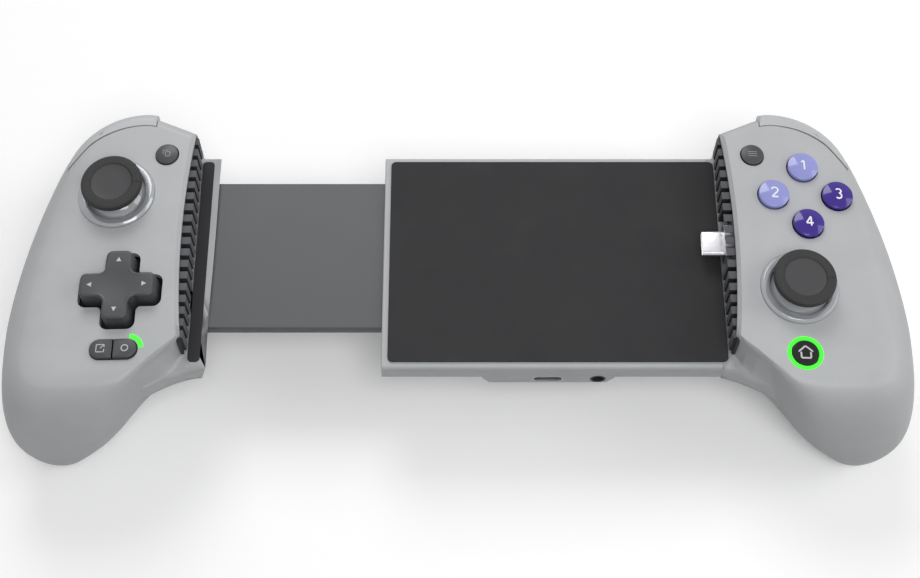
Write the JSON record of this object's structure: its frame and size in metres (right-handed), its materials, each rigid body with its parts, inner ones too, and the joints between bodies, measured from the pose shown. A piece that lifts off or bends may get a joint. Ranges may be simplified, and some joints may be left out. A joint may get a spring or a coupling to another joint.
{
  "type": "mobile game controller",
  "caption": "Telescopic game controller for a phone: curved handles with sticks, D-pad, buttons, bumpers and triggers, joined by a flat sliding bridge.",
  "frame": {"origin": "under the middle of the controller, at the level of its lowest points, with the bridge open for a phone 160 mm long", "axes": "+X to the player's right, +Y to the shoulder buttons, +Z out of the phone's screen"},
  "size_m": [0.2698, 0.1036, 0.0526],
  "materials": {
    "shell": "fine texture",
    "faceplate": "smooth, satin",
    "shoulder_controls": "satin",
    "back_buttons": "satin",
    "bridge": "fine texture",
    "slider": "smooth",
    "cradle_rubber": "matte",
    "membrane_rubber": "matte",
    "stick_rubber": "fine grip texture",
    "stick_plastic": "polished",
    "stick_collar": "smoked",
    "dark_buttons": "satin",
    "deep_purple_buttons": "gloss",
    "pale_purple_buttons": "gloss",
    "lights": "lit green",
    "inner_plastic": "moulded",
    "circuit_board": "solder mask",
    "module_metal": "stamped",
    "screws": "blackened",
    "pins": "ground",
    "plug_metal": "drawn",
    "socket_metal": "drawn",
    "socket_plastic": "moulded"
  },
  "bodies": {
    "right_grip": {"right_front_shell": "shell", "right_back_shell": "shell", "right_faceplate": "faceplate", "right_phone_pad": "cradle_rubber", "right_mainboard": "circuit_board", "right_membranes": "membrane_rubber", "right_screws": "screws", "right_hinge_pins": "pins", "right_stick_ring": "stick_collar", "right_stick_module": "module_metal", "home_light": "lights", "usb_plug_pin": "pins", "bridge_front_cover": "bridge", "bridge_back_cover": "bridge", "bridge_pad": "cradle_rubber", "usb_socket": "socket_metal", "audio_jack": "socket_plastic"},
    "left_grip": {"left_front_shell": "shell", "left_back_shell": "shell", "left_faceplate": "faceplate", "left_phone_pad": "cradle_rubber", "left_mainboard": "circuit_board", "left_membranes": "membrane_rubber", "left_screws": "screws", "left_hinge_pins": "pins", "left_stick_ring": "stick_collar", "left_stick_module": "module_metal", "mode_light": "lights", "bridge_slider": "slider", "shelf_pad": "cradle_rubber"},
    "dpad_rocker": {"dpad_rocker": "inner_plastic"},
    "dpad": {"dpad": "dark_buttons"},
    "usb_plug": {"usb_plug": "plug_metal"},
    "left_stick_rocker": {"left_stick_rocker": "inner_plastic"},
    "left_stick_pivot": {"left_stick_pivot": "inner_plastic"},
    "left_stick": {"left_stick_cap": "stick_rubber", "left_stick_shaft": "stick_plastic"},
    "right_stick_rocker": {"right_stick_rocker": "inner_plastic"},
    "right_stick_pivot": {"right_stick_pivot": "inner_plastic"},
    "right_stick": {"right_stick_cap": "stick_rubber", "right_stick_shaft": "stick_plastic"},
    "face_button_left": {"face_button_left": "pale_purple_buttons"},
    "face_button_right": {"face_button_right": "deep_purple_buttons"},
    "face_button_top": {"face_button_top": "pale_purple_buttons"},
    "face_button_bottom": {"face_button_bottom": "deep_purple_buttons"},
    "view_button": {"view_button": "dark_buttons"},
    "menu_button": {"menu_button": "dark_buttons"},
    "share_button": {"share_button": "dark_buttons"},
    "mode_button": {"mode_button": "dark_buttons"},
    "home_button": {"home_button": "dark_buttons"},
    "left_bumper": {"left_bumper": "shoulder_controls"},
    "left_trigger": {"left_trigger": "shoulder_controls"},
    "left_back_button": {"left_back_button": "back_buttons"},
    "right_bumper": {"right_bumper": "shoulder_controls"},
    "right_trigger": {"right_trigger": "shoulder_controls"},
    "right_back_button": {"right_back_button": "back_buttons"}
  },
  "joints": [
    {"name": "bridge_slide", "type": "slide", "parent": "right_grip", "child": "left_grip", "axis": [-1, 0, 0], "range_m": [-0.05, 0.025]},
    {"name": "left_stick_tilt_y", "type": "hinge", "parent": "left_grip", "child": "left_stick_rocker", "pos_m": [-0.10283, 0.02226, 0.03738], "axis": [0.9986, 0, 0.0523], "range_deg": [-13, 13], "stiffness_Nm_per_rad": 0.03},
    {"name": "left_stick_tilt_x", "type": "hinge", "parent": "left_stick_rocker", "child": "left_stick_pivot", "pos_m": [-0.10283, 0.02226, 0.03738], "axis": [0, 1, 0], "range_deg": [-13, 13], "stiffness_Nm_per_rad": 0.03},
    {"name": "left_stick_click", "type": "slide", "parent": "left_stick_pivot", "child": "left_stick", "axis": [0.0523, 0, -0.9986], "range_m": [0, 0.0005], "stiffness_N_per_m": 3000},
    {"name": "right_stick_tilt_y", "type": "hinge", "parent": "right_grip", "child": "right_stick_rocker", "pos_m": [0.09993, -0.00954, 0.03753], "axis": [0.9986, 0, -0.0523], "range_deg": [-13, 13], "stiffness_Nm_per_rad": 0.03},
    {"name": "right_stick_tilt_x", "type": "hinge", "parent": "right_stick_rocker", "child": "right_stick_pivot", "pos_m": [0.09993, -0.00954, 0.03753], "axis": [0, 1, 0], "range_deg": [-13, 13], "stiffness_Nm_per_rad": 0.03},
    {"name": "right_stick_click", "type": "slide", "parent": "right_stick_pivot", "child": "right_stick", "axis": [-0.0523, 0, -0.9986], "range_m": [0, 0.0005], "stiffness_N_per_m": 3000},
    {"name": "dpad_tilt_y", "type": "hinge", "parent": "left_grip", "child": "dpad_rocker", "pos_m": [-0.09868, -0.01044, 0.0366], "axis": [0.9986, 0, 0.0523], "range_deg": [-4, 4], "stiffness_Nm_per_rad": 0.2},
    {"name": "dpad_tilt_x", "type": "hinge", "parent": "dpad_rocker", "child": "dpad", "pos_m": [-0.09868, -0.01044, 0.0366], "axis": [0, 1, 0], "range_deg": [-4, 4], "stiffness_Nm_per_rad": 0.2},
    {"name": "face_button_left_press", "type": "slide", "parent": "right_grip", "child": "face_button_left", "axis": [-0.0523, 0, -0.9986], "range_m": [0, 0.0012], "stiffness_N_per_m": 500},
    {"name": "face_button_right_press", "type": "slide", "parent": "right_grip", "child": "face_button_right", "axis": [-0.0523, 0, -0.9986], "range_m": [0, 0.0012], "stiffness_N_per_m": 500},
    {"name": "face_button_top_press", "type": "slide", "parent": "right_grip", "child": "face_button_top", "axis": [-0.0523, 0, -0.9986], "range_m": [0, 0.0012], "stiffness_N_per_m": 500},
    {"name": "face_button_bottom_press", "type": "slide", "parent": "right_grip", "child": "face_button_bottom", "axis": [-0.0523, 0, -0.9986], "range_m": [0, 0.0012], "stiffness_N_per_m": 500},
    {"name": "view_button_press", "type": "slide", "parent": "left_grip", "child": "view_button", "axis": [0.0523, 0, -0.9986], "range_m": [0, 0.0006], "stiffness_N_per_m": 900},
    {"name": "menu_button_press", "type": "slide", "parent": "right_grip", "child": "menu_button", "axis": [-0.0523, 0, -0.9986], "range_m": [0, 0.0006], "stiffness_N_per_m": 900},
    {"name": "share_button_press", "type": "slide", "parent": "left_grip", "child": "share_button", "axis": [0.0523, 0, -0.9986], "range_m": [0, 0.0006], "stiffness_N_per_m": 900},
    {"name": "mode_button_press", "type": "slide", "parent": "left_grip", "child": "mode_button", "axis": [0.0523, 0, -0.9986], "range_m": [0, 0.0006], "stiffness_N_per_m": 900},
    {"name": "home_button_press", "type": "slide", "parent": "right_grip", "child": "home_button", "axis": [-0.0523, 0, -0.9986], "range_m": [0, 0.0006], "stiffness_N_per_m": 900},
    {"name": "left_bumper_press", "type": "hinge", "parent": "left_grip", "child": "left_bumper", "pos_m": [-0.0964, 0.04786, 0.03604], "axis": [0, 0, 1], "range_deg": [0, 1.2], "stiffness_Nm_per_rad": 1},
    {"name": "left_trigger_pull", "type": "hinge", "parent": "left_grip", "child": "left_trigger", "pos_m": [-0.1055, 0.03686, 0.02494], "axis": [-1, 0, 0], "range_deg": [0, 16], "stiffness_Nm_per_rad": 0.05},
    {"name": "left_back_button_press", "type": "slide", "parent": "left_grip", "child": "left_back_button", "axis": [0, 0, 1], "range_m": [0, 0.0008], "stiffness_N_per_m": 800},
    {"name": "right_bumper_press", "type": "hinge", "parent": "right_grip", "child": "right_bumper", "pos_m": [0.0964, 0.04786, 0.03604], "axis": [0, 0, -1], "range_deg": [0, 1.2], "stiffness_Nm_per_rad": 1},
    {"name": "right_trigger_pull", "type": "hinge", "parent": "right_grip", "child": "right_trigger", "pos_m": [0.1055, 0.03686, 0.02494], "axis": [-1, 0, 0], "range_deg": [0, 16], "stiffness_Nm_per_rad": 0.05},
    {"name": "right_back_button_press", "type": "slide", "parent": "right_grip", "child": "right_back_button", "axis": [0, 0, 1], "range_m": [0, 0.0008], "stiffness_N_per_m": 800},
    {"name": "usb_plug_tilt", "type": "hinge", "parent": "right_grip", "child": "usb_plug", "pos_m": [0.0854, 0.00936, 0.03654], "axis": [0, 1, 0], "range_deg": [0, 15], "stiffness_Nm_per_rad": 0.02}
  ]
}
